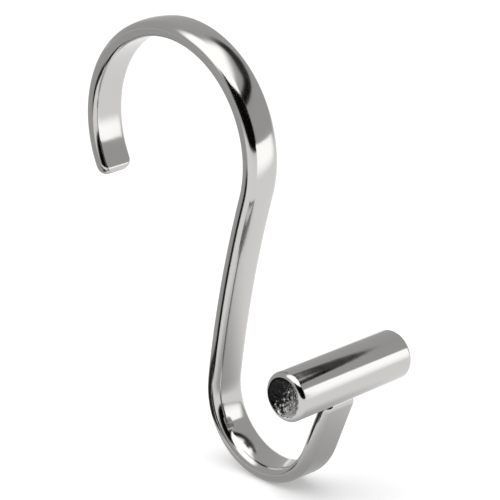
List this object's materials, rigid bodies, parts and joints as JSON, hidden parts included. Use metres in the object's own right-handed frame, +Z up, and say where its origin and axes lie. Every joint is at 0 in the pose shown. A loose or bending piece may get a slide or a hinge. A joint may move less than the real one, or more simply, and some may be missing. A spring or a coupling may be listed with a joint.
{
  "type": "shower curtain hook",
  "caption": "S-shaped shower curtain hook: a wide crook for the shower rod, a leaning shank and a smaller curtain loop that ends at a round cross bar, all bright chrome.",
  "frame": {"origin": "centre of the rod crook, where the axis of the shower rod would lie if it filled the crook", "axes": "+Z up as the hook hangs, +Y along the shower rod, +X from the crook's open side towards the curtain loop and the cross bar"},
  "size_m": [0.0736, 0.0306, 0.0888],
  "materials": {
    "strip_chrome": "bright polished chrome plate",
    "bar_chrome": "bright polished chrome plate, rough dished end faces"
  },
  "bodies": {
    "root": {"hook_strip": "strip_chrome", "cross_bar": "bar_chrome"}
  },
  "joints": []
}
